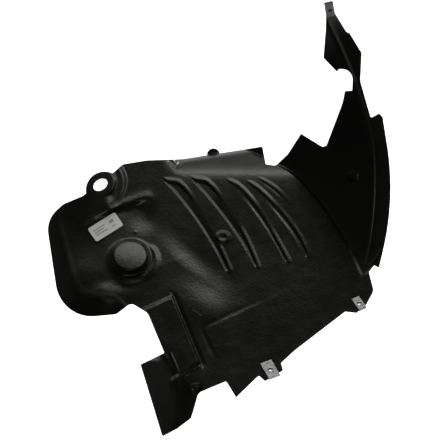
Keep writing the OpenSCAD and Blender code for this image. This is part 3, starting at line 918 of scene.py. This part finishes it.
def glow_where_seen(tree, strength):
    """White light given only to camera, mirror and glass rays."""
    path = tree.nodes.new("ShaderNodeLightPath")
    first = tree.nodes.new("ShaderNodeMath")
    first.operation = "MAXIMUM"
    either = tree.nodes.new("ShaderNodeMath")
    either.operation = "MAXIMUM"
    share = tree.nodes.new("ShaderNodeMath")
    share.operation = "MULTIPLY"
    share.inputs[1].default_value = strength
    glow = tree.nodes.new("ShaderNodeEmission")
    tree.links.new(path.outputs["Is Camera Ray"], first.inputs[0])
    tree.links.new(path.outputs["Is Glossy Ray"], first.inputs[1])
    tree.links.new(first.outputs[0], either.inputs[0])
    tree.links.new(path.outputs["Is Transmission Ray"], either.inputs[1])
    tree.links.new(either.outputs[0], share.inputs[0])
    tree.links.new(share.outputs[0], glow.inputs["Strength"])
    return glow


def sheet_of_profile(name, profile, half_width, near, side):
    """Smooth strip that follows a profile of (distance to the front, height) points."""
    points, faces = [], []
    for u, z in profile:
        for way in (-half_width, half_width):
            p = near * u + side * way
            points.append((p.x, p.y, z))
    for k in range(len(profile) - 1):
        faces.append((2 * k, 2 * k + 1, 2 * k + 3, 2 * k + 2))
    mesh = bpy.data.meshes.new(name)
    mesh.from_pydata(points, [], faces)
    mesh.shade_smooth()
    strip = new_object(name, mesh)
    return strip


def matt_paint(name, shade, strength):
    """Matt paint, or with a strength a glowing white seen from its front and clear from its back."""
    mat = bpy.data.materials.new(name)
    mat.use_nodes = True
    tree = mat.node_tree
    tree.nodes.clear()
    out = tree.nodes.new("ShaderNodeOutputMaterial")
    paint = tree.nodes.new("ShaderNodeBsdfDiffuse")
    paint.inputs["Color"].default_value = (shade, shade, shade, 1)
    if strength == 0:
        tree.links.new(paint.outputs[0], out.inputs["Surface"])
        return mat
    add = tree.nodes.new("ShaderNodeAddShader")
    glow = glow_where_seen(tree, strength)
    tree.links.new(paint.outputs[0], add.inputs[0])
    tree.links.new(glow.outputs[0], add.inputs[1])
    geometry = tree.nodes.new("ShaderNodeNewGeometry")
    clear = tree.nodes.new("ShaderNodeBsdfTransparent")
    pick = tree.nodes.new("ShaderNodeMixShader")
    tree.links.new(geometry.outputs["Backfacing"], pick.inputs["Fac"])
    tree.links.new(add.outputs[0], pick.inputs[1])
    tree.links.new(clear.outputs[0], pick.inputs[2])
    tree.links.new(pick.outputs[0], out.inputs["Surface"])
    return mat


def add_floor():
    """Wide grey floor, and a narrow white sweep behind the part as its backdrop."""
    level = cad_low.z - FLOOR_DROP
    near = Vector((TURN[2][0], TURN[2][1], 0)).normalized()
    side = Vector(TURN[0])
    under = level - SWEEP_OVER_FLOOR
    flat = [(FLOOR_FRONT, under), (-FLOOR_BACK, under)]
    floor = sheet_of_profile("floor", flat, FLOOR_HALF, near, side)
    floor.data.materials.append(matt_paint("grey_floor", FLOOR_GREY, 0))
    profile = [(SWEEP_FRONT, level)]
    for k in range(SWEEP_STEPS + 1):
        w = k * np.pi / (2 * SWEEP_STEPS)
        profile.append((-SWEEP_BACK - SWEEP_BEND * np.sin(w), level + SWEEP_BEND * (1 - np.cos(w))))
    profile.append((-SWEEP_BACK - SWEEP_BEND, level + SWEEP_HEIGHT))
    sweep = sheet_of_profile("backdrop", profile, SWEEP_HALF, near, side)
    sweep.data.materials.append(matt_paint("white_backdrop", SWEEP_WHITE, SWEEP_GLOW))


def add_world():
    """Plain even surroundings."""
    world = bpy.data.worlds.new("studio")
    bpy.context.scene.world = world
    world.use_nodes = True
    world.node_tree.nodes["Background"].inputs["Color"].default_value = (1, 1, 1, 1)
    world.node_tree.nodes["Background"].inputs["Strength"].default_value = WORLD_LEVEL


def add_softbox(name, way, size, power):
    """Area lamp that looks at the middle of the part; way is a direction in the mould frame."""
    lamp = bpy.data.lights.new(name, "AREA")
    lamp.shape = "RECTANGLE"
    lamp.size, lamp.size_y = size
    lamp.energy = power
    obj = bpy.data.objects.new(name, lamp)
    bpy.context.scene.collection.objects.link(obj)
    direction = Vector((np.array(way, float) @ TURN)).normalized()
    obj.location = CENTRE + direction * LAMP_DISTANCE
    obj.rotation_mode = "QUATERNION"
    obj.rotation_quaternion = (-direction).to_track_quat("-Z", "Y")


def add_camera():
    """Long lens along the draw, with the photo's frame round the part."""
    across = FRAME_PIXELS * PIXEL_MM * MM
    data = bpy.data.cameras.new("camera")
    data.sensor_width = 36
    data.lens = data.sensor_width * CAMERA_DISTANCE / across
    data.clip_start, data.clip_end = 0.1, 100
    camera = bpy.data.objects.new("camera", data)
    bpy.context.scene.collection.objects.link(camera)
    axes = Matrix([[float(v) for v in row] for row in TURN]).transposed()
    camera.matrix_world = Matrix.Translation(CENTRE + axes.col[2] * CAMERA_DISTANCE) @ axes.to_4x4()
    bpy.context.scene.camera = camera


add_floor()
add_world()
for softbox in SOFTBOXES:
    add_softbox(*softbox)
add_camera()
bpy.context.scene.view_settings.view_transform = "Standard"
